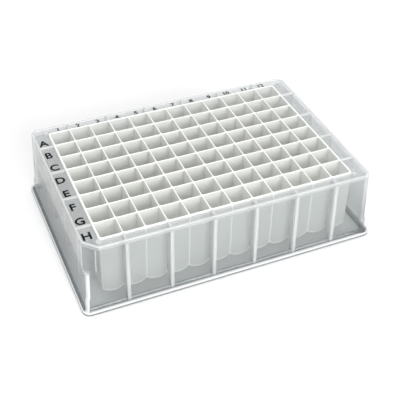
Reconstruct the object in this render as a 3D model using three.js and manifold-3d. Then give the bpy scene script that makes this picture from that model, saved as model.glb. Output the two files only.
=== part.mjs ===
// Deep-well plate: a grid of square wells that share their walls, with rounded bottoms, inside a
// thin outer skirt. It is moulded in one piece, so it is one solid.
// Millimetres, +Z up. The origin is the centre of the footprint, on the plane the plate stands on.
// Column 1 is at -X and row A is at +Y.

import * as THREE from "three";
import { mergeGeometries, mergeVertices } from "three/addons/utils/BufferGeometryUtils.js";
import Module from "manifold-3d";

const wasm = await Module();
wasm.setup();

// ---- Well grid ----
const columns = 12;
const rows = 8;
const wellPitch = 9;
const wellWall = 0.7; // shared wall between two wells, at the mouth
const wellTaper = 0.18; // how much each wall closes in from the mouth to the floor
const wellCornerRadius = 0.7;
const borderWall = 1; // wall round the outside of the grid, at the mouth
const borderTaper = 0.3; // how much the outside of the grid closes in towards the bottoms
const borderCornerRadius = 1.3;
const floorThickness = 0.9;
const bottomRise = 3.4; // from the lowest point of a rounded bottom up to its corners
const bottomClearance = 1.8; // from the bench to the lowest point of a bottom
const bottomReach = 0.9; // share of its radius over which a bottom curves; past that it runs level

// ---- Footprint and height ----
const endMargin = 14.38; // from the middle of the end wells to the end of the footprint
const sideMargin = 11.24; // from the middle of the side wells to the side of the footprint
const plateHeight = 32;
const footHeight = 1.6;
const footCornerRadius = 3.2;
const footLip = 1.2; // lip under the foot, outside the recess that the plate below nests in
const stackingRecess = 0.9;

// ---- Outer skirt ----
const skirtWall = 1;
const skirtCornerRadius = 3;
const h1CornerRadius = 1.2; // the skirt's corner below the notch is sharper than the others
const h1HollowRadius = 0.6; // the same corner inside the skirt
const edgeBreak = 0.25; // chamfer that breaks the outer edges of the foot and the rim
const endLedge = 1.4; // width of the foot's ledge in front of the skirt, at the ends
const sideLedge = 1.3; // the same in front of the side ribs
const endLean = 0.7; // how much the plain skirt leans in from the foot to the top, at the ends
const sideLean = 0.5; // the same along the sides
const panelDepth = 1; // how far the side panels are set back behind the ribs and the rim
const panelRootRise = 0.9; // sloping root where a panel meets the ledge
const ribWidth = 1.4; // outer ribs between the side panels, one at every second well boundary
const pillarWidth = 2.2; // full-depth wall at each end of a side, measured along it
const rimDepth = 1.6; // height of the rim round the top, above the side panels
const rootHeight = 1.2; // curved root where the skirt rises from the ledge
const rootWidth = 0.5;
const bandHeight = 8; // lower band of the ends, which stands a little proud
const bandStep = 0.4;
const bandShoulder = 0.5;

// ---- Deck between the grid and the skirt ----
const deckThickness = 1;
const deckDrop = 0.6; // from the top of the wells down to the deck
const rimWidth = 1;

// ---- Webs that tie the grid to the skirt, one at every second well boundary ----
const webThickness = 1;
const sideWebFoot = 1.2; // depth of a side web below the wells
const sideWebStep = 6.6; // height where a side web narrows to its foot
const sideWebSlope = 1.2; // rise of the slanting edge above that

// ---- Orientation notch at the corner of well H1 ----
const notchLeg = 5.4;
const notchDepth = 12; // down from the top of the plate

// ---- Small round bosses at the corners of the grid ----
const bossRadius = 1;
const bossInset = 0.4; // how far a boss's middle lies outside the grid's corner, each way

// ---- Faceting ----
const cornerSteps = 4; // facets in an outer corner
const bottomSteps = 4; // facets across one rounded bottom
const overlap = 0.3; // how far joined pieces run into each other
const beyond = 1; // how far a cutter runs past what it cuts

// ---- Sizes that follow ----
const plateLength = (columns - 1) * wellPitch + 2 * endMargin;
const plateWidth = (rows - 1) * wellPitch + 2 * sideMargin;
const gridLength = columns * wellPitch;
const gridWidth = rows * wellPitch;
const wellMouth = wellPitch - wellWall;
const borderOffset = borderWall - wellWall / 2; // how far the border stands out past the outer wells
const gridHalfX = gridLength / 2 + borderOffset;
const gridHalfY = gridWidth / 2 + borderOffset;
const cellDiagonal = Math.hypot(wellPitch / 2, wellPitch / 2);
const bottomRadius = (cellDiagonal ** 2 + bottomRise ** 2) / (2 * bottomRise);
const bottomCentre = bottomClearance + bottomRadius;
const floorRadius = bottomRadius - floorThickness;
const wellDepth = plateHeight - bottomClearance - floorThickness;
const deckTop = plateHeight - deckDrop;
const deckUnderside = deckTop - deckThickness;
const skirtBaseHeight = footHeight + rootHeight;

// ---- Solids from three.js geometry ----

function solid(geometry) {
  const bare = geometry.clone();
  bare.deleteAttribute("normal");
  bare.deleteAttribute("uv");
  const merged = mergeVertices(bare, 1e-5);
  const corners = Array.from(merged.index.array);
  const triangles = corners.flatMap((a, k) => {
    const [b, c] = [corners[k + 1], corners[k + 2]];
    return k % 3 || a === b || b === c || c === a ? [] : [a, b, c];
  });
  return new wasm.Manifold(
    new wasm.Mesh({
      numProp: 3,
      vertProperties: new Float32Array(merged.attributes.position.array),
      triVerts: new Uint32Array(triangles),
    }),
  );
}

function geometryOf(manifold) {
  const mesh = manifold.getMesh();
  const geometry = new THREE.BufferGeometry();
  geometry.setAttribute("position", new THREE.BufferAttribute(new Float32Array(mesh.vertProperties), 3));
  geometry.setIndex(new THREE.BufferAttribute(new Uint32Array(mesh.triVerts), 1));
  geometry.computeVertexNormals();
  return geometry;
}

function meshFrom(points, triangles) {
  const geometry = new THREE.BufferGeometry();
  geometry.setAttribute("position", new THREE.Float32BufferAttribute(points.flatMap((p) => p.toArray()), 3));
  geometry.setIndex(triangles);
  return geometry;
}

// Joins rings of points, from the lowest to the highest, each running anticlockwise seen from
// above. The ends are closed to a point in the middle of the first and last ring, or to the points
// given as tips.
function loft(rings, tips = {}) {
  const count = rings[0].length;
  const middle = (ring) => ring.reduce((sum, p) => sum.add(p), new THREE.Vector3()).divideScalar(count);
  const points = rings.flat();
  const bottomTip = points.push(tips.bottom ?? middle(rings[0])) - 1;
  const topTip = points.push(tips.top ?? middle(rings.at(-1))) - 1;
  const topStart = (rings.length - 1) * count;
  const triangles = [];
  for (let i = 0; i < count; i++) {
    const next = (i + 1) % count;
    for (let r = 0; r + 1 < rings.length; r++) {
      const low = r * count;
      const high = low + count;
      triangles.push(low + i, low + next, high + next);
      triangles.push(low + i, high + next, high + i);
    }
    triangles.push(bottomTip, next, i);
    triangles.push(topTip, topStart + i, topStart + next);
  }
  return meshFrom(points, triangles);
}

// One ring of a rectangle with round corners, at height z. The corner at well H1 has its own radius.
function roundedRing(halfX, halfY, radius, z, h1Radius = radius) {
  const corners = [
    [1, 1, radius],
    [-1, 1, radius],
    [-1, -1, h1Radius],
    [1, -1, radius],
  ];
  return corners.flatMap(([sx, sy, r], quarter) =>
    Array.from({ length: cornerSteps + 1 }, (_, k) => {
      const angle = (quarter + k / cornerSteps) * (Math.PI / 2);
      const x = sx * (halfX - r) + r * Math.cos(angle);
      const y = sy * (halfY - r) + r * Math.sin(angle);
      return new THREE.Vector3(x, y, z);
    }),
  );
}

// ---- Skirt, foot and deck ----

// Half sizes of the skirt's outer face at height z, on the plain wall above the band.
function skirtHalf(z) {
  const share = (z - skirtBaseHeight) / (plateHeight - skirtBaseHeight);
  return {
    x: plateLength / 2 - endLedge - bandStep - endLean * share,
    y: plateWidth / 2 - sideLedge - sideLean * share,
  };
}

function skirtOutside() {
  const ring = (halfX, halfY, z) => roundedRing(halfX, halfY, skirtCornerRadius, z, h1CornerRadius);
  const rings = [];
  const rootSteps = 3;
  for (let k = 0; k <= rootSteps; k++) {
    const angle = (k / rootSteps) * (Math.PI / 2);
    const z = footHeight - overlap * (k === 0) + rootHeight * (1 - Math.cos(angle));
    const flare = rootWidth * (1 - Math.sin(angle));
    const half = skirtHalf(z);
    rings.push(ring(half.x + bandStep + flare, half.y + flare, z));
  }
  const shoulder = skirtHalf(bandHeight);
  const top = skirtHalf(plateHeight);
  rings.push(ring(shoulder.x + bandStep, shoulder.y, bandHeight - bandShoulder));
  rings.push(ring(shoulder.x, shoulder.y, bandHeight));
  rings.push(ring(top.x, top.y, plateHeight - edgeBreak));
  rings.push(ring(top.x - edgeBreak, top.y - edgeBreak, plateHeight));
  return solid(loft(rings));
}

// The hollow between the foot and the deck. Its wall is parallel to the skirt's plain outer face.
function skirtHollow() {
  const radius = skirtCornerRadius - skirtWall;
  const rings = [stackingRecess - overlap, deckUnderside].map((z) => {
    const half = skirtHalf(z);
    return roundedRing(half.x - skirtWall, half.y - skirtWall - panelDepth, radius, z, h1HollowRadius);
  });
  return solid(loft(rings));
}

// Where the ribs and webs of a side or an end stand: at every second well boundary.
function everySecondBoundary(wells) {
  const places = [];
  for (let k = 1; k < wells; k += 2) {
    places.push((k - wells / 2) * wellPitch);
  }
  return places;
}

// The spaces in front of the side panels, between the ribs and below the rim.
function sidePanels() {
  const low = skirtHalf(skirtBaseHeight);
  const top = skirtHalf(plateHeight);
  const highest = plateHeight - rimDepth;
  const leanAt = (z) => (sideLean * (plateHeight - z)) / (plateHeight - skirtBaseHeight);
  const face = (z) => top.y + leanAt(z) - panelDepth;
  const outline = new THREE.Shape([
    new THREE.Vector2(face(footHeight) + panelDepth / 2, footHeight - overlap),
    new THREE.Vector2(face(footHeight) + panelDepth / 2, footHeight),
    new THREE.Vector2(face(footHeight + panelRootRise), footHeight + panelRootRise),
    new THREE.Vector2(face(highest), highest),
    new THREE.Vector2(low.y + 2 * beyond, highest),
    new THREE.Vector2(low.y + 2 * beyond, footHeight - overlap),
  ]);
  const edges = [pillarWidth - top.x];
  for (const x of everySecondBoundary(columns)) {
    edges.push(x - ribWidth / 2, x + ribWidth / 2);
  }
  edges.push(top.x - pillarWidth);
  const spaces = [];
  for (let k = 0; k < edges.length; k += 2) {
    const length = edges[k + 1] - edges[k];
    const space = new THREE.ExtrudeGeometry(outline, { depth: length, bevelEnabled: false });
    space.rotateX(Math.PI / 2).rotateZ(Math.PI / 2).translate(edges[k], 0, 0);
    spaces.push(space, space.clone().rotateZ(Math.PI));
  }
  return solid(mergeGeometries(spaces));
}

// A block that holds everything outside the notch's slanting face, moved in by inset.
function notchCutter(inset) {
  const top = skirtHalf(plateHeight);
  const reach = 4 * notchLeg;
  const corner = new THREE.Vector2(-top.x, -top.y);
  const leg = notchLeg + inset * Math.SQRT2;
  const shape = new THREE.Shape([
    new THREE.Vector2(corner.x + leg + reach, corner.y - reach),
    new THREE.Vector2(corner.x - reach, corner.y + leg + reach),
    new THREE.Vector2(corner.x - reach, corner.y - reach),
  ]);
  const low = plateHeight - notchDepth - inset;
  const geometry = new THREE.ExtrudeGeometry(shape, {
    depth: notchDepth + inset + beyond,
    bevelEnabled: false,
  });
  return solid(geometry.translate(0, 0, low));
}

function skirtWithDeck() {
  const footX = plateLength / 2;
  const footY = plateWidth / 2;
  const lipRadius = footCornerRadius - footLip;
  const foot = solid(
    loft([
      roundedRing(footX - edgeBreak, footY - edgeBreak, footCornerRadius - edgeBreak, 0),
      roundedRing(footX, footY, footCornerRadius, edgeBreak),
      roundedRing(footX, footY, footCornerRadius, footHeight - edgeBreak),
      roundedRing(footX - edgeBreak, footY - edgeBreak, footCornerRadius - edgeBreak, footHeight),
    ]),
  );
  const recess = solid(
    loft([
      roundedRing(footX - footLip, footY - footLip, lipRadius, -beyond),
      roundedRing(footX - footLip, footY - footLip, lipRadius, stackingRecess),
    ]),
  );
  const top = skirtHalf(plateHeight);
  const sunkDeck = solid(
    loft([
      roundedRing(top.x - rimWidth, top.y - rimWidth, skirtCornerRadius - rimWidth, deckTop),
      roundedRing(top.x - rimWidth, top.y - rimWidth, skirtCornerRadius - rimWidth, plateHeight + beyond),
    ]),
  );
  const outside = skirtOutside().subtract(notchCutter(0)).subtract(sidePanels()).add(foot);
  const hollow = skirtHollow().subtract(notchCutter(skirtWall));
  const sunk = sunkDeck.subtract(notchCutter(rimWidth));
  return outside.subtract(recess).subtract(hollow).subtract(sunk);
}

// ---- Well grid ----

// Height of the outside of a rounded bottom, at distance r from the middle of its well.
function bottomHeight(r) {
  const curved = Math.min(r, bottomRadius * bottomReach);
  return bottomCentre - Math.sqrt(bottomRadius ** 2 - curved ** 2);
}

// Height of the inside of a rounded bottom, which has the same centre.
function floorHeight(r) {
  const curved = Math.min(r, floorRadius * bottomReach);
  return bottomCentre - Math.sqrt(floorRadius ** 2 - curved ** 2);
}

// Sample lines across the grid: each well is cut in bottomSteps, and the outermost lines are moved
// out to the grid's outer wall. Each comes with its distance from the middle of its well.
function sampleLines(wells, half) {
  const lines = [];
  for (let k = 0; k <= wells * bottomSteps; k++) {
    const well = Math.min(Math.floor(k / bottomSteps), wells - 1);
    const middle = (well + 0.5 - wells / 2) * wellPitch;
    const plain = (k / bottomSteps - wells / 2) * wellPitch;
    const outermost = k === 0 || k === wells * bottomSteps;
    const place = outermost ? Math.sign(plain) * (half + overlap) : plain;
    lines.push({ place, offset: place - middle });
  }
  return lines;
}

// The solid block of the grid, with one rounded bottom under each well. Neighbouring bottoms meet
// in a ridge under their shared wall. The outline gives it its flat top and its outer walls.
function gridBlock() {
  const acrossX = sampleLines(columns, gridHalfX);
  const acrossY = sampleLines(rows, gridHalfY);
  const points = [];
  for (const level of ["bottom", "top"]) {
    for (const x of acrossX) {
      for (const y of acrossY) {
        const z = level === "top" ? plateHeight + beyond : bottomHeight(Math.hypot(x.offset, y.offset));
        points.push(new THREE.Vector3(x.place, y.place, z));
      }
    }
  }
  const nx = acrossX.length;
  const ny = acrossY.length;
  const low = (i, j) => i * ny + j;
  const high = (i, j) => nx * ny + low(i, j);
  const triangles = [];
  const quad = (a, b, c, d) => triangles.push(a, b, c, a, c, d);
  for (let i = 0; i + 1 < nx; i++) {
    for (let j = 0; j + 1 < ny; j++) {
      quad(high(i, j), high(i + 1, j), high(i + 1, j + 1), high(i, j + 1));
      const slopesUp = (i % bottomSteps < bottomSteps / 2) === (j % bottomSteps < bottomSteps / 2);
      if (slopesUp) {
        quad(low(i, j), low(i, j + 1), low(i + 1, j + 1), low(i + 1, j));
      } else {
        quad(low(i + 1, j), low(i, j), low(i, j + 1), low(i + 1, j + 1));
      }
    }
    quad(low(i, 0), low(i + 1, 0), high(i + 1, 0), high(i, 0));
    quad(low(i + 1, ny - 1), low(i, ny - 1), high(i, ny - 1), high(i + 1, ny - 1));
  }
  for (let j = 0; j + 1 < ny; j++) {
    quad(low(0, j + 1), low(0, j), high(0, j), high(0, j + 1));
    quad(low(nx - 1, j), low(nx - 1, j + 1), high(nx - 1, j + 1), high(nx - 1, j));
  }
  const block = solid(meshFrom(points, triangles));
  const outline = solid(
    loft([
      roundedRing(gridHalfX - borderTaper, gridHalfY - borderTaper, borderCornerRadius, 0),
      roundedRing(gridHalfX, gridHalfY, borderCornerRadius, plateHeight),
    ]),
  );
  return block.intersect(outline);
}

// Outline of one well at the given half width: two points at each corner and one at each middle.
// Where it is plain, the middle point is drawn onto the corner's, because a flat wall needs none.
function wellOutline(half, plain = false) {
  const straight = half - wellCornerRadius;
  const side = [
    [half, -straight],
    [half, plain ? straight : 0],
    [half, straight],
  ];
  const up = new THREE.Vector3(0, 0, 1);
  return [0, 1, 2, 3].flatMap((turn) =>
    side.map(([x, y]) => new THREE.Vector3(x, y, 0).applyAxisAngle(up, (turn * Math.PI) / 2)),
  );
}

function wellHalfWidth(z) {
  return wellMouth / 2 - (wellTaper * (plateHeight - z)) / wellDepth;
}

// The space inside one well, centred on the origin. Its walls run down to the curved floor.
function wellSpace() {
  const count = wellOutline(wellMouth / 2).length;
  const floorEdge = [];
  for (let k = 0; k < count; k++) {
    let point = wellOutline(wellHalfWidth(bottomClearance))[k];
    for (let pass = 0; pass < 4; pass++) {
      point = wellOutline(wellHalfWidth(floorHeight(point.length())))[k];
    }
    floorEdge.push(point);
  }
  const onFloor = (share) =>
    floorEdge.map((p) => {
      const r = p.length() * share;
      return new THREE.Vector3(p.x * share, p.y * share, floorHeight(r));
    });
  const atHeight = (z) => wellOutline(wellHalfWidth(z), true).map((p) => p.setZ(z));
  const rings = [onFloor(0.5), onFloor(1), atHeight(plateHeight + beyond)];
  return loft(rings, { bottom: new THREE.Vector3(0, 0, floorHeight(0)) });
}

// ---- Webs and bosses ----

// A thin upright plate with the given outline in the plane of (outwards, up), run out along +X and
// then turned to face the given way.
function web(outline, along, turn) {
  const shape = new THREE.Shape(outline.map(([u, z]) => new THREE.Vector2(u, z)));
  const geometry = new THREE.ExtrudeGeometry(shape, { depth: webThickness, bevelEnabled: false });
  geometry.translate(0, 0, -webThickness / 2);
  geometry.rotateX(Math.PI / 2);
  geometry.translate(0, along, 0);
  geometry.rotateZ(turn);
  return solid(geometry);
}

// The webs at the ends of the grid stop at the band.
function endWebs() {
  const top = skirtHalf(plateHeight).x - rimWidth / 2;
  const low = skirtHalf(bandHeight).x - skirtWall / 2;
  const inner = gridHalfX - borderTaper - overlap;
  const outline = [
    [inner, bandHeight],
    [low, bandHeight],
    [top, plateHeight],
    [inner, plateHeight],
  ];
  return everySecondBoundary(rows).flatMap((y) => [web(outline, y, 0), web(outline, y, Math.PI)]);
}

// The webs along the sides run on down the skirt to the stacking recess, behind the ribs.
function sideWebs() {
  const top = skirtHalf(plateHeight).y - rimWidth / 2;
  const low = skirtHalf(skirtBaseHeight).y - panelDepth - skirtWall / 2;
  const inner = gridHalfY - borderTaper - overlap;
  const foot = low - skirtWall / 2 - sideWebFoot;
  const outline = [
    [foot, stackingRecess],
    [low, stackingRecess],
    [low, deckUnderside],
    [top, deckUnderside],
    [top, plateHeight],
    [inner, plateHeight],
    [inner, sideWebStep + sideWebSlope],
    [foot, sideWebStep],
  ];
  const turns = [Math.PI / 2, -Math.PI / 2];
  return everySecondBoundary(columns).flatMap((x) => turns.map((turn) => web(outline, x, turn)));
}

function bosses() {
  const height = deckDrop + deckThickness / 2;
  const places = [
    [1, 1],
    [-1, 1],
    [-1, -1],
    [1, -1],
  ];
  return places.map(([sx, sy]) => {
    const geometry = new THREE.CylinderGeometry(bossRadius, bossRadius, height, 12);
    geometry.rotateX(Math.PI / 2);
    geometry.translate(sx * (gridHalfX + bossInset), sy * (gridHalfY + bossInset), plateHeight - height / 2);
    return solid(geometry);
  });
}

// ---- The plate ----

function allWellSpaces() {
  const space = wellSpace();
  const spaces = [];
  for (let column = 0; column < columns; column++) {
    for (let row = 0; row < rows; row++) {
      const x = (column + 0.5 - columns / 2) * wellPitch;
      const y = (row + 0.5 - rows / 2) * wellPitch;
      spaces.push(space.clone().translate(x, y, 0));
    }
  }
  return solid(mergeGeometries(spaces));
}

function wellPlate() {
  let plate = skirtWithDeck().add(gridBlock());
  for (const piece of [...endWebs(), ...sideWebs(), ...bosses()]) {
    plate = plate.add(piece);
  }
  return geometryOf(plate.subtract(allWellSpaces()));
}

const naturalPolypropylene = new THREE.MeshStandardMaterial({
  color: 0xdfe3e1,
  roughness: 0.35,
  metalness: 0,
});

const plate = new THREE.Mesh(wellPlate(), naturalPolypropylene);
plate.name = "well_plate";

const model = new THREE.Group();
model.add(plate);

export default model;
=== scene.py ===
# Deep-well plate in natural polypropylene, with printed row letters and column numbers.
# Sizes in the dictionaries are millimetres; meshes are made in metres.
import math

import bmesh
import bpy
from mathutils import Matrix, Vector


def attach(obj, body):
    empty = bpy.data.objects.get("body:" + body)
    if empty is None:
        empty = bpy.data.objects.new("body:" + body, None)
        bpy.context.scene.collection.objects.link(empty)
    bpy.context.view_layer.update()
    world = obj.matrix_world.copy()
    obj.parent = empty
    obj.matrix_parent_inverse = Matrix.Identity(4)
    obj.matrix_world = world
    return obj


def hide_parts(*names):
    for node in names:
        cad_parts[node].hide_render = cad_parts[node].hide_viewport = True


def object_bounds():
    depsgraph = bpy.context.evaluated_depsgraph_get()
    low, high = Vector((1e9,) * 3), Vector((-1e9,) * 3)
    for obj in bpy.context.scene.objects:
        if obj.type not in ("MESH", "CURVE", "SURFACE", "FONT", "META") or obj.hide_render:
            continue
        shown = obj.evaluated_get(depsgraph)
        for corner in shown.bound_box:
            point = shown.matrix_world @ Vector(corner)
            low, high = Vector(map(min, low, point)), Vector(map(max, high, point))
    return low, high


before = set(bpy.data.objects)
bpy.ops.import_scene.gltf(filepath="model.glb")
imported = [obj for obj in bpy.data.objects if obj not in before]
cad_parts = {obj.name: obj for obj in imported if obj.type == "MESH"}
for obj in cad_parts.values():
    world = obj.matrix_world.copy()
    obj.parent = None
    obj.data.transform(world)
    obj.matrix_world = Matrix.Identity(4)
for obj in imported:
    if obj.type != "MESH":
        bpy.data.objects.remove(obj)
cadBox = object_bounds()
print("frame loaded")

mm = 0.001
scene = bpy.context.scene

grid = {"columns": 12, "rows": 8, "pitch": 9.0, "top": cadBox[1].z / mm}

camera = {
    "place": (-116.92, -268.83, 249.46),
    "turn": (55.592, -1.226, -23.344),
    "lens": 77.526,
    "shift": (-0.0136, -0.2),
    "sensor": 36,
    "clip": (0.01, 20),
}


def makeCamera():
    data = bpy.data.cameras.new("camera")
    data.sensor_width = camera["sensor"]
    data.lens = camera["lens"]
    data.shift_x, data.shift_y = camera["shift"]
    data.clip_start, data.clip_end = camera["clip"]
    eye = bpy.data.objects.new("camera", data)
    eye.location = Vector(camera["place"]) * mm
    eye.rotation_euler = [math.radians(a) for a in camera["turn"]]
    scene.collection.objects.link(eye)
    scene.camera = eye


def meshOf(name, points, faces):
    mesh = bpy.data.meshes.new(name)
    mesh.from_pydata([Vector(p) * mm for p in points], [], faces)
    mesh.update()
    return mesh


def objectOf(name, mesh):
    piece = bpy.data.objects.new(name, mesh)
    scene.collection.objects.link(piece)
    return piece


def smoothShade(mesh, angle):
    for face in mesh.polygons:
        face.use_smooth = True
    mesh.set_sharp_from_angle(angle=math.radians(angle))


def repeatTree():
    tree = bpy.data.node_groups.new("repeatCell", "GeometryNodeTree")
    face = tree.interface
    face.new_socket("Geometry", in_out="INPUT", socket_type="NodeSocketGeometry")
    for label, kind in (
        ("Cell", "NodeSocketObject"),
        ("Columns", "NodeSocketInt"),
        ("Rows", "NodeSocketInt"),
        ("Step X", "NodeSocketFloat"),
        ("Step Y", "NodeSocketFloat"),
        ("Weld", "NodeSocketFloat"),
        ("Finish", "NodeSocketMaterial"),
    ):
        face.new_socket(label, in_out="INPUT", socket_type=kind)
    face.new_socket("Geometry", in_out="OUTPUT", socket_type="NodeSocketGeometry")
    node, link = tree.nodes.new, tree.links.new
    given, made = node("NodeGroupInput"), node("NodeGroupOutput")

    def span(count, step):
        less = node("ShaderNodeMath")
        less.operation = "SUBTRACT"
        less.inputs[1].default_value = 1
        link(given.outputs[count], less.inputs[0])
        times = node("ShaderNodeMath")
        times.operation = "MULTIPLY"
        link(less.outputs[0], times.inputs[0])
        link(given.outputs[step], times.inputs[1])
        return times.outputs[0]

    places = node("GeometryNodeMeshGrid")
    link(span("Columns", "Step X"), places.inputs["Size X"])
    link(span("Rows", "Step Y"), places.inputs["Size Y"])
    link(given.outputs["Columns"], places.inputs["Vertices X"])
    link(given.outputs["Rows"], places.inputs["Vertices Y"])
    cell = node("GeometryNodeObjectInfo")
    link(given.outputs["Cell"], cell.inputs["Object"])
    copies = node("GeometryNodeInstanceOnPoints")
    link(places.outputs["Mesh"], copies.inputs["Points"])
    link(cell.outputs["Geometry"], copies.inputs["Instance"])
    real = node("GeometryNodeRealizeInstances")
    link(copies.outputs["Instances"], real.inputs["Geometry"])
    weld = node("GeometryNodeMergeByDistance")
    link(real.outputs["Geometry"], weld.inputs["Geometry"])
    link(given.outputs["Weld"], weld.inputs["Distance"])
    finish = node("GeometryNodeSetMaterial")
    link(weld.outputs["Geometry"], finish.inputs["Geometry"])
    link(given.outputs["Finish"], finish.inputs["Material"])
    link(finish.outputs["Geometry"], made.inputs["Geometry"])
    return tree


def repeated(name, tree, cellMesh, columns, rows, stepX, stepY, weld, finish):
    cell = objectOf(name + "Cell", cellMesh)
    holder = objectOf(name + "Holder", bpy.data.meshes.new(name + "Holder"))
    modifier = holder.modifiers.new("repeat", "NODES")
    modifier.node_group = tree
    values = {
        "Cell": cell, "Columns": columns, "Rows": rows,
        "Step X": stepX * mm, "Step Y": stepY * mm, "Weld": weld * mm, "Finish": finish,
    }
    for item in tree.interface.items_tree:
        if item.item_type == "SOCKET" and item.in_out == "INPUT" and item.name in values:
            modifier[item.identifier] = values[item.name]
    bpy.context.view_layer.update()
    graph = bpy.context.evaluated_depsgraph_get()
    mesh = bpy.data.meshes.new_from_object(holder.evaluated_get(graph))
    mesh.name = name
    mesh.materials.clear()
    mesh.materials.append(finish)
    mesh.polygons.foreach_set("material_index", [0] * len(mesh.polygons))
    holder.modifiers.clear()
    for extra in (holder, cell):
        bpy.data.objects.remove(extra)
    return mesh


# "land" is the flat top of the walls, "solid" is where the moulding is solid through.
milky = {
    "colour": (0.92, 0.925, 0.905, 1), "bulkColour": (0.98, 0.98, 0.965, 1),
    "glow": (0.96, 0.965, 0.94, 1), "tint": (0.975, 0.98, 0.975, 1), "footTintAndShade": (0.9, 0.905, 0.9, 1),
    "roughness": 0.38, "veil": 0.62, "grazeVeil": 0.95, "graze": 2.2, "cloud": 0.12, "gloss": 0.16,
    "landFrom": 31.9, "landTo": 31.99, "landVeil": 0.9, "solidVeil": 0.9,
}
clear = {
    "colour": (0.88, 0.89, 0.895, 1), "bulkColour": (0.93, 0.935, 0.935, 1),
    "glow": (0.88, 0.9, 0.905, 1), "tint": (0.83, 0.843, 0.845, 1), "footTintAndShade": (0.5, 0.53, 0.55, 1),
    "roughness": 0.24, "veil": 0.04, "grazeVeil": 0.65, "graze": 5.0, "cloud": 0.05, "gloss": 0.09,
    "landFrom": 30.3, "landTo": 30.5, "landVeil": 0.26, "solidVeil": 0.8,
}
thick = dict(
    clear, veil=0.34, graze=3.0, colour=(0.95, 0.955, 0.955, 1), glow=(0.95, 0.955, 0.955, 1),
    tint=(0.97, 0.975, 0.975, 1),
)
plastic = {
    "ior": 1.49, "roughSpread": 0.08, "footFrom": 1.7, "footTo": 1.4, "letThrough": 0.35, "solidLoss": 0.3,
    "faceOn": 0.04, "edgeOn": 0.9, "edgePower": 5,
}
flow = {"scale": 85.0, "detail": 3.0, "grain": 700.0, "bump": 0.04, "bumpDepth": 0.2}
ink = {
    "colour": (0.004, 0.004, 0.005, 1), "roughness": 0.7, "roughSpread": 0.12,
    "specular": 0.05, "speck": 1400,
}


def newMaterial(name):
    finish = bpy.data.materials.new(name)
    finish.use_nodes = True
    finish.node_tree.nodes.clear()
    return finish, finish.node_tree


def mathNode(tree, operation, first, second=None, clamp=False):
    n = tree.nodes.new("ShaderNodeMath")
    n.operation = operation
    n.use_clamp = clamp
    for k, value in enumerate((first, second)):
        if value is None:
            continue
        if isinstance(value, (int, float)):
            n.inputs[k].default_value = value
        else:
            tree.links.new(value, n.inputs[k])
    return n.outputs[0]


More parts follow.
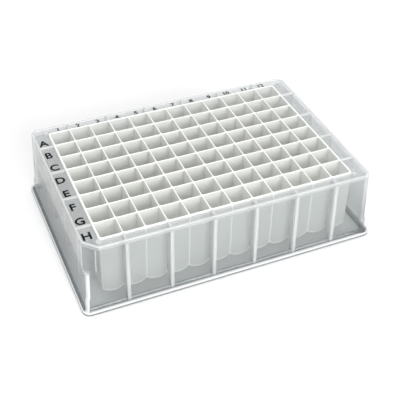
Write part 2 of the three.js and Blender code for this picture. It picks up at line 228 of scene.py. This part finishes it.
# Thin moulded plastic: a tinted see-through skin under a milky veil. The veil thickens at a slant,
# on the flat lands at the top, where the moulding is solid, and in soft clouds where it flowed.
def thinPolypropylene(name, v):
    finish, tree = newMaterial(name)
    node, link = tree.nodes.new, tree.links.new
    out = node("ShaderNodeOutputMaterial")
    place = node("ShaderNodeTexCoord")
    clouds = node("ShaderNodeTexNoise")
    clouds.inputs["Scale"].default_value = flow["scale"]
    clouds.inputs["Detail"].default_value = flow["detail"]
    link(place.outputs["Object"], clouds.inputs["Vector"])
    grain = node("ShaderNodeTexNoise")
    grain.inputs["Scale"].default_value = flow["grain"]
    link(place.outputs["Object"], grain.inputs["Vector"])
    bump = node("ShaderNodeBump")
    bump.inputs["Strength"].default_value = flow["bump"]
    bump.inputs["Distance"].default_value = flow["bumpDepth"] * mm
    link(grain.outputs["Fac"], bump.inputs["Height"])

    skin = node("ShaderNodeBsdfPrincipled")
    skin.inputs["IOR"].default_value = plastic["ior"]
    rough = node("ShaderNodeMapRange")
    rough.inputs["To Min"].default_value = v["roughness"] - plastic["roughSpread"]
    rough.inputs["To Max"].default_value = v["roughness"] + plastic["roughSpread"]
    link(clouds.outputs["Fac"], rough.inputs["Value"])
    link(rough.outputs["Result"], skin.inputs["Roughness"])
    link(bump.outputs["Normal"], skin.inputs["Normal"])
    glow = node("ShaderNodeBsdfTranslucent")
    glow.inputs["Color"].default_value = v["glow"]
    haze = node("ShaderNodeMixShader")
    link(skin.outputs[0], haze.inputs[1])
    link(glow.outputs[0], haze.inputs[2])
    passing = node("ShaderNodeBsdfTransparent")

    slant = node("ShaderNodeLayerWeight")
    slant.inputs["Blend"].default_value = 0.5
    graze = mathNode(tree, "POWER", slant.outputs["Facing"], v["graze"])
    veil = mathNode(tree, "MULTIPLY_ADD", graze, v["grazeVeil"] - v["veil"])
    veil.node.inputs[2].default_value = v["veil"]
    drift = mathNode(tree, "MULTIPLY_ADD", clouds.outputs["Fac"], v["cloud"])
    drift.node.inputs[2].default_value = -v["cloud"] / 2
    clouded = mathNode(tree, "ADD", veil, drift, clamp=True)
    height = node("ShaderNodeSeparateXYZ")
    link(place.outputs["Object"], height.inputs[0])
    # The see-through tint turns darker at the foot: partly the thicker plastic there, partly painted shade
    # that darkens the bottom band.
    inFoot = node("ShaderNodeMapRange")
    inFoot.inputs["From Min"].default_value = plastic["footFrom"] * mm
    inFoot.inputs["From Max"].default_value = plastic["footTo"] * mm
    link(height.outputs["Z"], inFoot.inputs["Value"])
    tint = node("ShaderNodeMix")
    tint.data_type = "RGBA"
    tint.inputs["A"].default_value = v["tint"]
    tint.inputs["B"].default_value = v["footTintAndShade"]
    link(inFoot.outputs["Result"], tint.inputs["Factor"])
    link(tint.outputs["Result"], passing.inputs["Color"])
    onLand = node("ShaderNodeMapRange")
    onLand.inputs["From Min"].default_value = v["landFrom"] * mm
    onLand.inputs["From Max"].default_value = v["landTo"] * mm
    onLand.inputs["To Max"].default_value = v["landVeil"]
    link(height.outputs["Z"], onLand.inputs["Value"])
    solid = node("ShaderNodeAttribute")
    solid.attribute_name = "solid"
    onSolid = mathNode(tree, "MULTIPLY", solid.outputs["Fac"], v["solidVeil"])
    thin = mathNode(tree, "MAXIMUM", clouded, onLand.outputs["Result"])
    cover = mathNode(tree, "MAXIMUM", thin, onSolid)
    bulk = mathNode(tree, "MAXIMUM", onLand.outputs["Result"], onSolid)
    white = node("ShaderNodeMix")
    white.data_type = "RGBA"
    white.inputs["A"].default_value = v["colour"]
    white.inputs["B"].default_value = v["bulkColour"]
    link(bulk, white.inputs["Factor"])
    link(white.outputs["Result"], skin.inputs["Base Color"])
    letThrough = mathNode(tree, "MULTIPLY_ADD", bulk, -plastic["solidLoss"])
    letThrough.node.inputs[2].default_value = plastic["letThrough"]
    link(letThrough, haze.inputs[0])
    body = node("ShaderNodeMixShader")
    link(cover, body.inputs[0])
    link(passing.outputs[0], body.inputs[1])
    link(haze.outputs[0], body.inputs[2])

    sheen = node("ShaderNodeBsdfGlossy")
    sheen.inputs["Roughness"].default_value = v["gloss"]
    atEdge = mathNode(tree, "POWER", slant.outputs["Facing"], plastic["edgePower"])
    shine = mathNode(tree, "MULTIPLY_ADD", atEdge, plastic["edgeOn"])
    shine.node.inputs[2].default_value = plastic["faceOn"]
    glossy = node("ShaderNodeMixShader")
    link(shine, glossy.inputs[0])
    link(body.outputs[0], glossy.inputs[1])
    link(sheen.outputs[0], glossy.inputs[2])
    link(glossy.outputs[0], out.inputs["Surface"])
    return finish


def printInk():
    finish, tree = newMaterial("blackInk")
    node, link = tree.nodes.new, tree.links.new
    out = node("ShaderNodeOutputMaterial")
    place = node("ShaderNodeTexCoord")
    speck = node("ShaderNodeTexNoise")
    speck.inputs["Scale"].default_value = ink["speck"]
    link(place.outputs["Object"], speck.inputs["Vector"])
    tone = node("ShaderNodeMapRange")
    tone.inputs["To Min"].default_value = ink["roughness"] - ink["roughSpread"]
    tone.inputs["To Max"].default_value = ink["roughness"] + ink["roughSpread"]
    link(speck.outputs["Fac"], tone.inputs["Value"])
    skin = node("ShaderNodeBsdfPrincipled")
    skin.inputs["Base Color"].default_value = ink["colour"]
    skin.inputs["Specular IOR Level"].default_value = ink["specular"]
    link(tone.outputs["Result"], skin.inputs["Roughness"])
    link(skin.outputs[0], out.inputs["Surface"])
    return finish


well = {
    "wall": 0.7, "taper": 0.18, "cornerRadius": 0.7, "crown": 0.25,
    "floorThickness": 0.9, "bottomRise": 3.4, "bottomClearance": 1.8, "bottomReach": 0.9,
    "border": 0.65, "borderTaper": 0.3, "borderCorner": 1.3, "edge": 0.3,
    "stations": (-4.5, -4.15, -3.72, -2.6, -1.3, 0.0, 1.3, 2.6, 3.72, 4.15, 4.5),
    "cornerAngles": (-45, -22.5, 0), "wallShares": (-0.62, -0.31, 0.0, 0.31, 0.62),
    "wallRings": (9, 18), "shoreRise": 2, "bowlShares": (0.93, 0.78, 0.58, 0.36, 0.17), "weld": 0.004,
}
# The milkier lines on the border: along the foot of the wells and where two wells meet.
line = {"outline": 0.6, "fade": 0.15, "proud": 0.01, "near": 0.1, "reach": 0.4, "paler": 0.75}
sillShare = 0.29  # where the middle of the rounded top edge lies
touch = 0.01  # closer than this counts as on the border
hair = 0.001  # keeps a place on a grid line from rounding down past it
bottomRadius = ((grid["pitch"] ** 2) / 2 + well["bottomRise"] ** 2) / (2 * well["bottomRise"])
bottomCentre = well["bottomClearance"] + bottomRadius
floorRadius = bottomRadius - well["floorThickness"]
mouthHalf = (grid["pitch"] - well["wall"]) / 2


def bottomHeight(r):
    r = min(r, bottomRadius * well["bottomReach"])
    return bottomCentre - math.sqrt(bottomRadius**2 - r * r)


def floorHeight(r):
    return bottomCentre - math.sqrt(floorRadius**2 - r * r)


def wellHalf(z):
    depth = grid["top"] - well["bottomClearance"] - well["floorThickness"]
    return mouthHalf - well["taper"] * (grid["top"] - z) / depth


# Ten places along each side: half a corner, the straight wall and half of the next corner.
def roundedOutline(half, radius):
    straight = half - radius
    diagonal = [math.radians(a) for a in well["cornerAngles"]]
    side = [(straight + radius * math.cos(a), -straight + radius * math.sin(a)) for a in diagonal]
    side += [(half, straight * t) for t in well["wallShares"]]
    side += [(half, straight)]
    side += [(straight + radius * math.cos(diagonal[1]), straight - radius * math.sin(diagonal[1]))]
    return turned(side)


def turned(side):
    ring = []
    for turn in range(4):
        c, s = ((1, 0), (0, 1), (-1, 0), (0, -1))[turn]
        ring += [(x * c - y * s, x * s + y * c) for x, y in side]
    return ring


def wellCell():
    stations = well["stations"]
    last = len(stations) - 1
    points, faces = [], []

    def addRing(ring):
        start = len(points)
        points.extend(ring)
        return start

    def join(lower, upper, count):
        for k in range(count):
            n = (k + 1) % count
            faces.append((lower + k, lower + n, upper + n, upper + k))

    top = grid["top"]
    edge = turned([(grid["pitch"] / 2, s) for s in stations[:-1]])
    count = len(edge)
    crown, radius = well["crown"], well["cornerRadius"]
    rings = [[(x, y, top) for x, y in edge]]
    for angle in (90, 45, 0):
        out = crown * (1 - math.cos(math.radians(angle)))
        half = mouthHalf + out
        z = top - crown + crown * math.sin(math.radians(angle))
        rings.append([(x, y, z) for x, y in roundedOutline(half, radius + out)])
    for z in [top - drop for drop in well["wallRings"]]:
        rings.append([(x, y, z) for x, y in roundedOutline(wellHalf(z), radius)])
    shore = roundedOutline(wellHalf(well["bottomClearance"] + well["shoreRise"]), radius)
    rings.append([(x, y, floorHeight(math.hypot(x, y))) for x, y in shore])
    for share in well["bowlShares"]:
        rings.append(
            [(x * share, y * share, floorHeight(math.hypot(x, y) * share)) for x, y in shore]
        )
    starts = [addRing(ring) for ring in rings]
    for upper, lower in zip(starts, starts[1:]):
        join(upper, lower, count)
    middle = addRing([(0, 0, floorHeight(0))])
    for k in range(count):
        faces.append((starts[-1] + k, starts[-1] + (k + 1) % count, middle))

    under = addRing([(x, y, bottomHeight(math.hypot(x, y))) for x in stations for y in stations])
    step = last + 1
    for i in range(last):
        for j in range(last):
            a = under + i * step + j
            faces.append((a, a + 1, a + step + 1, a + step))
    return meshOf("wellCell", points, faces)


# Carries the edge of the grid out to its thicker border wall and closes it between top and bottoms.
def closeBorder(mesh):
    halfX = grid["columns"] * grid["pitch"] / 2
    halfY = grid["rows"] * grid["pitch"] / 2
    work = bmesh.new()
    work.from_mesh(mesh)
    solid = work.verts.layers.float.new("solid")
    middle = grid["top"] * mm / 2
    rim = [e for e in work.edges if e.is_boundary]
    key = lambda v: (round(v.co.x / mm, 2), round(v.co.y / mm, 2))
    high = {key(v): v for e in rim for v in e.verts if v.co.z > middle}
    low = {key(v): v for e in rim for v in e.verts if v.co.z < middle}

    def outwards(x, y, step):
        x = math.copysign(halfX + step, x) if abs(abs(x) - halfX) < touch else x
        y = math.copysign(halfY + step, y) if abs(abs(y) - halfY) < touch else y
        r = well["borderCorner"]
        dx, dy = abs(x) - (halfX + step - r), abs(y) - (halfY + step - r)
        if dx > 0 and dy > 0:
            scale = r / math.hypot(dx, dy)
            x = math.copysign(halfX + step - r + dx * scale, x)
            y = math.copysign(halfY + step - r + dy * scale, y)
        return x, y

    def placed(k, z, step):
        x, y = outwards(k[0], k[1], step)
        return Vector((x, y, z)) * mm

    def wellMiddle(place, half):
        count = math.floor(min(abs(place), half - line["near"]) / grid["pitch"])
        return math.copysign(count * grid["pitch"] + grid["pitch"] / 2, place)

    # How near a place along the border is to the wall between two wells.
    def junction(k):
        along = [((abs(c) + hair) % grid["pitch"]) for c in k]
        onEnd = abs(abs(k[0]) - halfX) < touch
        gap = along[1] if onEnd else along[0]
        gap = min(gap, grid["pitch"] - gap)
        if gap < line["near"]:
            return 1.0
        return line["paler"] if gap < line["reach"] else 0.0

    out, crown, top, edge = well["border"], well["crown"], grid["top"], well["edge"]
    inward = out - well["borderTaper"]
    chain = {}
    for k, v in high.items():
        v.co = placed(k, top, out - crown)
        sill = work.verts.new(placed(k, top - crown * sillShare, out - crown * sillShare))
        brow = work.verts.new(placed(k, top - crown, out))
        foot = low[k]
        x, y = outwards(k[0], k[1], inward)
        z = bottomHeight(math.hypot(x - wellMiddle(k[0], halfX), y - wellMiddle(k[1], halfY)))
        lineTop = z + edge + line["outline"]
        plain = work.verts.new(placed(k, lineTop + line["fade"], inward + line["proud"]))
        above = work.verts.new(placed(k, lineTop, inward + line["proud"]))
        lip = work.verts.new(placed(k, z + edge, inward))
        foot.co = placed(k, z, inward - edge)
        for vert in (sill, brow, plain):
            vert[solid] = junction(k)
        for vert in (above, lip, foot):
            vert[solid] = 1.0
        chain[k] = (v, sill, brow, plain, above, lip, foot)
    byVert = {c[0]: c for c in chain.values()}
    pairs = [(byVert[e.verts[0]], byVert[e.verts[1]]) for e in rim
             if e.verts[0] in byVert and e.verts[1] in byVert]
    for a, b in pairs:
        for level in range(6):
            work.faces.new((a[level], b[level], b[level + 1], a[level + 1]))
    bmesh.ops.recalc_face_normals(work, faces=work.faces)
    work.to_mesh(mesh)
    work.free()
    return mesh


skirt = {
    "ends": 62.08, "sides": 41.44, "endLean": 0.7, "sideLean": 0.5, "leanFrom": 2.8,
    "panelDepth": 1.0, "panelRoot": 0.9, "pillar": 2.2, "wall": 1.0, "corner": 3.0, "h1Corner": 1.2,
    "bandTop": 8.0, "bandStep": 0.4, "footTop": 1.6, "footCorner": 3.2, "footLip": 1.2, "recess": 0.9,
    "rootHeight": 1.2, "rootWidth": 0.5, "rootAngles": (0, 22, 45, 67, 90),
    "deckTop": 31.4, "deckThickness": 1.0, "rimWidth": 1.0, "rimDepth": 1.6,
    "notchLeg": 5.4, "notchFloor": 20.0, "notchLedge": 1.0, "innerCorner": 0.6, "intoGrid": 0.1,
    "steps": 8, "lead": 0.25, "cutLead": (0.12, 0.4), "plainGap": 0.1, "panelGap": 0.02, "panelSlope": 0.13,
    "rimSolid": 0.65, "footSolid": 0.95, "h1Solid": 0.8, "h1TopSolid": 0.7, "weld": 0.002,
}


def plainEnds(z):
    share = (z - skirt["leanFrom"]) / (grid["top"] - skirt["leanFrom"])
    return skirt["ends"] - skirt["endLean"] * share


def plainSides(z):
    share = (z - skirt["leanFrom"]) / (grid["top"] - skirt["leanFrom"])
    return skirt["sides"] - skirt["sideLean"] * share


# A rectangle with round corners. The corner at well H1 has its own radius, or is cut straight.
# Along the sides the panels between the corner pillars are set back by the panel depth.
def cornerRing(x, y, z, radius, h1Radius=None, cut=None, panel=0.0, solid=0.0, h1Solid=0.0):
    steps, lead = skirt["steps"], skirt["lead"]
    edge = plainEnds(grid["top"]) - skirt["pillar"]
    ring = []
    for quarter, (sx, sy) in enumerate(((1, 1), (-1, 1), (-1, -1), (1, -1))):
        atH1 = quarter == 2
        r = h1Radius if atH1 and h1Radius is not None else radius
        if atH1 and cut is not None:
            reach = cut - panel
            corner = [(x, y - cut - lead)]
            corner += [(x - reach * k / steps, y - cut + reach * k / steps) for k in range(steps + 1)]
            corner += [(x - reach - gap, y - panel) for gap in skirt["cutLead"]]
        else:
            last = math.pi / 2
            if panel > 0 and edge > x - r:
                last = math.acos((edge - x + r) / r)
            angles = [last * k / steps for k in range(steps + 1)]
            corner = [(x, y - r - lead)]
            corner += [(x - r + r * math.cos(a), y - r + r * math.sin(a)) for a in angles]
            turnX, turnY = corner[-1]
            near = turnX - skirt["plainGap"]
            if panel > 0:
                near = turnX - lead if atH1 else min(turnX, edge) - skirt["panelGap"]
            corner += [(near, turnY), (near - skirt["panelSlope"], y - panel if panel > 0 else turnY)]
        weights = [solid] * len(corner)
        if atH1 and h1Solid > 0:
            weights[1:-2] = [max(solid, h1Solid)] * (len(corner) - 3)
            if cut is not None:
                weights[2:steps + 1] = [solid] * (steps - 1)
        corner = [(sx * u, sy * w, z, weight) for (u, w), weight in zip(corner, weights)]
        ring += corner if sx * sy > 0 else corner[::-1]
    return ring


def skirtShell():
    s = skirt
    top = grid["top"]
    topX, topY = plainEnds(top), plainSides(top)
    blockX = grid["columns"] * grid["pitch"] / 2 + well["border"] - s["intoGrid"]
    blockY = grid["rows"] * grid["pitch"] / 2 + well["border"] - s["intoGrid"]
    leg = s["notchLeg"]
    diagonal = 2 - math.sqrt(2)
    rings = []

    def ring(x, y, z, radius, inset=None, h1=None, panel=0.0, solid=0.0, h1Solid=0.0):
        cut = None if inset is None else leg - inset * diagonal
        rings.append(cornerRing(x, y, z, radius, h1, cut, panel, solid, h1Solid))

    deck, rim = s["deckTop"], s["rimWidth"]
    ring(blockX, blockY, deck, well["borderCorner"])
    rimProfile = (
        (rim + 0.25, deck), (rim + 0.07, deck + 0.08), (rim, deck + 0.25), (rim - 0.05, top - 0.07),
        (rim - 0.2, top), (0.2, top), (0.06, top - 0.06), (0.0, top - 0.2),
    )
    for inset, z in rimProfile:
        radius = max(s["corner"] - inset, s["innerCorner"])
        weight = s["rimSolid"] if z > top - 0.15 else 0.0
        ring(topX - inset, topY - inset, z, radius, inset, solid=weight)
    under, depth = top - s["rimDepth"], s["panelDepth"]
    for z, panel in ((under + 0.1, 0.0), (under, depth * 0.8), (under - 0.2, depth)):
        ring(plainEnds(z), plainSides(z), z, s["corner"], 0, None, panel)
    notch = s["notchFloor"]

    def wallRing(z, proud, inset=None, flare=0.0, panel=depth, h1Solid=s["h1Solid"]):
        ring(plainEnds(z) + proud + flare, plainSides(z) + flare, z, s["corner"], inset, s["h1Corner"],
             panel + flare, 0.0, h1Solid)

    wallRing(under - 0.3, 0, 0, h1Solid=s["h1TopSolid"])
    wallRing(notch + 0.4, 0, 0, h1Solid=s["h1TopSolid"])
    wallRing(notch + 0.12, 0, 0)
    wallRing(notch, 0, 0.12)
    wallRing(notch, -0.02, None, -0.02)
    wallRing(notch - 0.12, 0)
    wallRing(s["bandTop"] + 0.1, 0)
    wallRing(s["bandTop"] - 0.5, s["bandStep"])
    root = s["panelRoot"]
    for angle in s["rootAngles"]:
        share = 1 - math.sin(math.radians(angle))
        z = s["footTop"] + s["rootHeight"] * share
        setBack = depth - (depth / 2) * max(0.0, 1 - (z - s["footTop"]) / root)
        wallRing(z, s["bandStep"], None, s["rootWidth"] * (1 - math.cos(math.radians(angle))), setBack)
    footX, footY = cadBox[1].x / mm, cadBox[1].y / mm
    foot, lip = s["footTop"], s["footLip"]
    footProfile = (
        (0.3, foot), (0.09, foot - 0.09), (0.0, foot - 0.3), (0.0, 0.2),
        (0.2, 0.0), (lip - 0.2, 0.0), (lip, 0.2), (lip, s["recess"]),
    )
    for inset, z in footProfile:
        weight = s["footSolid"] if z > 1.2 and inset < 0.5 else 0.0
        ring(footX - inset, footY - inset, z, s["footCorner"] - inset, solid=weight)

    def innerRing(z, inset=None):
        x = plainEnds(z) - s["wall"]
        y = plainSides(z) - s["panelDepth"] - s["wall"]
        ring(x, y, z, s["corner"] - s["wall"], inset, s["innerCorner"])

    ledge = s["notchLedge"]
    innerRing(s["recess"])
    innerRing(notch - ledge)
    innerRing(notch - ledge, ledge)
    innerRing(s["deckTop"] - s["deckThickness"], ledge)
    ring(blockX, blockY, s["deckTop"] - s["deckThickness"], well["borderCorner"])

    count = len(rings[0])
    points = [p for one in rings for p in one]
    faces = []
    for r in range(len(rings)):
        a, b = r * count, ((r + 1) % len(rings)) * count
        for k in range(count):
            n = (k + 1) % count
            faces.append((a + k, a + n, b + n, b + k))
    mesh = meshOf("skirt", [p[:3] for p in points], faces)
    weights = mesh.attributes.new("solid", "FLOAT", "POINT")
    weights.data.foreach_set("value", [p[3] for p in points])
    work = bmesh.new()
    work.from_mesh(mesh)
    bmesh.ops.remove_doubles(work, verts=work.verts, dist=s["weld"] * mm)
    bmesh.ops.dissolve_degenerate(work, edges=work.edges, dist=s["weld"] * mm)
    bmesh.ops.recalc_face_normals(work, faces=work.faces)
    work.to_mesh(mesh)
    work.free()
    return mesh


boss = {"radius": 1.0, "inset": 0.4, "height": 1.1, "round": 0.12, "facets": 24}


def cornerBosses():
    work = bmesh.new()
    r, top, edge, facets = boss["radius"], grid["top"], boss["round"], boss["facets"]
    profile = ((r, top - boss["height"]), (r, top - edge), (r - edge, top))
    around = [math.radians(360 / facets * k) for k in range(facets)]
    for sx, sy in ((1, 1), (-1, 1), (-1, -1), (1, -1)):
        x = sx * (grid["columns"] * grid["pitch"] / 2 + well["border"] + boss["inset"])
        y = sy * (grid["rows"] * grid["pitch"] / 2 + well["border"] + boss["inset"])
        levels = []
        for u, z in profile:
            circle = [Vector((x + u * math.cos(a), y + u * math.sin(a), z)) * mm for a in around]
            levels.append([work.verts.new(place) for place in circle])
        for lower, upper in zip(levels, levels[1:]):
            for k in range(facets):
                n = (k + 1) % facets
                work.faces.new((lower[k], lower[n], upper[n], upper[k]))
        work.faces.new(levels[0][::-1])
        work.faces.new(levels[-1])
    bmesh.ops.recalc_face_normals(work, faces=work.faces)
    mesh = bpy.data.meshes.new("cornerBosses")
    work.to_mesh(mesh)
    work.free()
    return mesh


rib = {
    "width": 1.4, "webThickness": 1.0, "round": 0.15, "foot": 1.5, "webFoot": 0.9, "webTop": 30.5,
    "sideWebFoot": 1.2, "sideWebStep": 6.6, "sideWebSlope": 1.2,
    "intoRim": 0.1, "intoWall": 0.2, "intoGrid": 0.25, "sink": 0.3, "belowTop": 0.02,
}


# A slab with the given outline in (outwards, up), centred on x = 0 and facing +Y or -Y.
def slab(outline, width, towards):
    n = len(outline)
    half = width / 2
    points = [(-half, towards * u, z) for u, z in outline] + [(half, towards * u, z) for u, z in outline]
    faces = [tuple(range(n)), tuple(range(2 * n - 1, n - 1, -1))]
    faces += [(k, n + k, n + (k + 1) % n, (k + 1) % n) for k in range(n)]
    return points, faces


# Joins slabs, turned to face along X where asked, and rounds all their edges.
def slabMesh(name, slabs, alongX=False):
    work = bmesh.new()
    for points, faces in slabs:
        places = [(-y, x, z) if alongX else (x, y, z) for x, y, z in points]
        verts = [work.verts.new(Vector(place) * mm) for place in places]
        for f in faces:
            work.faces.new([verts[i] for i in f])
    bmesh.ops.bevel(
        work, geom=work.edges[:], offset=rib["round"] * mm, segments=2, affect="EDGES", profile=0.5,
    )
    bmesh.ops.recalc_face_normals(work, faces=work.faces)
    mesh = bpy.data.meshes.new(name)
    work.to_mesh(mesh)
    work.free()
    return mesh


# The short wall over the deck that ties the top of the grid to the rim.
def bridge(inner, outer):
    low, high = skirt["deckTop"] - rib["sink"], grid["top"] - rib["belowTop"]
    far = outer - skirt["rimWidth"] + rib["sink"]
    return [(inner, low), (far, low), (far, high), (inner, high)]


def sideRibCell():
    under = grid["top"] - skirt["rimDepth"]
    into, wall, sink = under + rib["intoRim"], skirt["wall"], rib["sink"]
    foot, low, high, step = rib["foot"], rib["webFoot"], rib["webTop"], rib["sideWebStep"]
    inner = grid["rows"] * grid["pitch"] / 2 + well["border"] - rib["intoGrid"]
    innerLow = inner - well["borderTaper"]
    back = wall + rib["sideWebFoot"]

    def panelY(z):
        return plainSides(z) - skirt["panelDepth"]

    outer = [
        (panelY(foot) - sink, foot), (plainSides(foot), foot),
        (plainSides(under), into), (panelY(under) - sink, into),
    ]
    web = [
        (panelY(low) - back, low), (panelY(low) - wall + rib["intoWall"], low),
        (panelY(high) - wall + rib["intoWall"], high), (inner, high),
        (innerLow, step + rib["sideWebSlope"]), (panelY(step) - back, step),
    ]
    slabs = []
    for towards in (1, -1):
        slabs.append(slab(outer, rib["width"], towards))
        slabs.append(slab(web, rib["webThickness"], towards))
        slabs.append(slab(bridge(inner, plainSides(grid["top"])), rib["webThickness"], towards))
    return slabMesh("sideRib", slabs)


def endWebCell():
    low, high = skirt["bandTop"], rib["webTop"]
    inner = grid["columns"] * grid["pitch"] / 2 + well["border"] - rib["intoGrid"]
    innerLow = inner - well["borderTaper"]

    def wallX(z):
        return plainEnds(z) - skirt["wall"] + rib["intoWall"]

    web = [(innerLow, low), (wallX(low), low), (wallX(high), high), (inner, high)]
    slabs = []
    for towards in (1, -1):
        slabs.append(slab(web, rib["webThickness"], towards))
        slabs.append(slab(bridge(inner, plainEnds(grid["top"])), rib["webThickness"], towards))
    return slabMesh("endWeb", slabs, alongX=True)


letters = {"size": 5.6, "x": -58.1, "drop": 1.0, "weight": 0.024}
numbers = {"size": 3.5, "y": 38.5, "weight": 0.032}
layer = {"height": 0.03, "above": 0.02, "resolution": 3, "weld": 0.0005}


def word(text, size, weight, x, y):
    curve = bpy.data.curves.new("word", "FONT")
    curve.body = text
    curve.size = size * mm
    curve.offset = weight * size * mm
    curve.extrude = layer["height"] * mm / 2
    curve.align_x, curve.align_y = "CENTER", "CENTER"
    curve.resolution_u = layer["resolution"]
    holder = objectOf("word", curve)
    bpy.context.view_layer.update()
    graph = bpy.context.evaluated_depsgraph_get()
    mesh = bpy.data.meshes.new_from_object(holder.evaluated_get(graph))
    bpy.data.objects.remove(holder)
    lowX = min(v.co.x for v in mesh.vertices)
    highX = max(v.co.x for v in mesh.vertices)
    lowY = min(v.co.y for v in mesh.vertices)
    highY = max(v.co.y for v in mesh.vertices)
    for v in mesh.vertices:
        v.co.x += x * mm - (lowX + highX) / 2
        v.co.y += y * mm - (lowY + highY) / 2
        v.co.z += (skirt["deckTop"] + layer["above"] + layer["height"] / 2) * mm
    return mesh


def joinedMesh(name, meshes):
    work = bmesh.new()
    for mesh in meshes:
        work.from_mesh(mesh)
    bmesh.ops.remove_doubles(work, verts=work.verts, dist=layer["weld"] * mm)
    bmesh.ops.dissolve_degenerate(work, edges=work.edges, dist=layer["weld"] * mm)
    bmesh.ops.recalc_face_normals(work, faces=work.faces)
    made = bpy.data.meshes.new(name)
    work.to_mesh(made)
    work.free()
    return made


def printedMarks():
    words = []
    for row, letter in enumerate("ABCDEFGH"):
        y = ((grid["rows"] - 1) / 2 - row) * grid["pitch"] - letters["drop"]
        words.append(word(letter, letters["size"], letters["weight"], letters["x"], y))
    for column in range(grid["columns"]):
        x = (column - (grid["columns"] - 1) / 2) * grid["pitch"]
        words.append(word(str(column + 1), numbers["size"], numbers["weight"], x, numbers["y"]))
    return joinedMesh("printedMarks", words)


shadeAngle = {"wells": 40, "thinParts": 35}  # edges sharper than this stay crisp

makeCamera()
print("camera placed")

milkyFinish = thinPolypropylene("milkyPolypropylene", milky)
clearFinish = thinPolypropylene("clearPolypropylene", clear)
thickFinish = thinPolypropylene("thickPolypropylene", thick)
inkFinish = printInk()
print("finishes made")

repeat = repeatTree()

pitch = grid["pitch"]
blockMesh = repeated(
    "wellBlock", repeat, wellCell(), grid["columns"], grid["rows"], pitch, pitch, well["weld"], milkyFinish,
)
closeBorder(blockMesh)
smoothShade(blockMesh, shadeAngle["wells"])
block = objectOf("well_block", blockMesh)
print("wells made", len(blockMesh.polygons))

skirtMesh = skirtShell()
skirtMesh.materials.append(clearFinish)
smoothShade(skirtMesh, shadeAngle["thinParts"])
shell = objectOf("skirt", skirtMesh)
print("skirt made", len(skirtMesh.polygons))

ribMesh = repeated("sideRibs", repeat, sideRibCell(), grid["columns"] // 2, 1, 2 * pitch, 0, 0, thickFinish)
smoothShade(ribMesh, shadeAngle["thinParts"])
sideRibs = objectOf("side_ribs", ribMesh)
webMesh = repeated("endWebs", repeat, endWebCell(), 1, grid["rows"] // 2, 0, 2 * pitch, 0, thickFinish)
smoothShade(webMesh, shadeAngle["thinParts"])
endWebs = objectOf("end_webs", webMesh)
bossMesh = cornerBosses()
bossMesh.materials.append(thickFinish)
smoothShade(bossMesh, shadeAngle["thinParts"])
bosses = objectOf("corner_bosses", bossMesh)
print("ribs and bosses made")

marksMesh = printedMarks()
marksMesh.materials.append(inkFinish)
marks = objectOf("printed_marks", marksMesh)
print("print made")

for piece in (block, shell, sideRibs, endWebs, bosses, marks):
    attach(piece, "root")
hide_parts("well_plate")
print("pieces placed on the frame")


sky = {"horizon": 0.46, "zenith": 0.36}
# Name, place in metres, size and power. The key is low and in front, so upright walls catch it.
lamps = (
    ("key", (0.2, -1.2, 0.36), 0.9, 21.0),
    ("top", (-0.15, 0.1, 1.3), 0.9, 14.0),
)
bench = {"half": 6.0, "colour": (0.84, 0.84, 0.84, 1)}


def makeStage():
    half = bench["half"]
    corners = [(-half, -half, 0), (half, -half, 0), (half, half, 0), (-half, half, 0)]
    mesh = bpy.data.meshes.new("floor")
    mesh.from_pydata(corners, [], [(0, 1, 2, 3)])
    floor = objectOf("floor", mesh)
    finish, tree = newMaterial("paleFloor")
    node, link = tree.nodes.new, tree.links.new
    out = node("ShaderNodeOutputMaterial")
    pale = node("ShaderNodeBsdfDiffuse")
    pale.inputs["Color"].default_value = bench["colour"]
    link(pale.outputs[0], out.inputs["Surface"])
    mesh.materials.append(finish)


def makeLight():
    world = bpy.data.worlds.new("studio")
    world.use_nodes = True
    tree = world.node_tree
    node, link = tree.nodes.new, tree.links.new
    back = tree.nodes["Background"]
    back.inputs["Strength"].default_value = 1.0
    place = node("ShaderNodeTexCoord")
    height = node("ShaderNodeSeparateXYZ")
    link(place.outputs["Generated"], height.inputs[0])
    ramp = node("ShaderNodeMapRange")
    ramp.inputs["To Min"].default_value = sky["horizon"]
    ramp.inputs["To Max"].default_value = sky["zenith"]
    link(height.outputs["Z"], ramp.inputs["Value"])
    link(ramp.outputs["Result"], back.inputs["Color"])
    scene.world = world
    for name, spot, size, power in lamps:
        data = bpy.data.lights.new(name, "AREA")
        data.shape = "SQUARE"
        data.size = size
        data.energy = power
        lamp = bpy.data.objects.new(name, data)
        lamp.location = spot
        lamp.rotation_euler = (Vector((0, 0, 0)) - Vector(spot)).to_track_quat("-Z", "Y").to_euler()
        scene.collection.objects.link(lamp)


makeStage()
makeLight()
scene.view_settings.view_transform = "Standard"
print("floor and lights set")
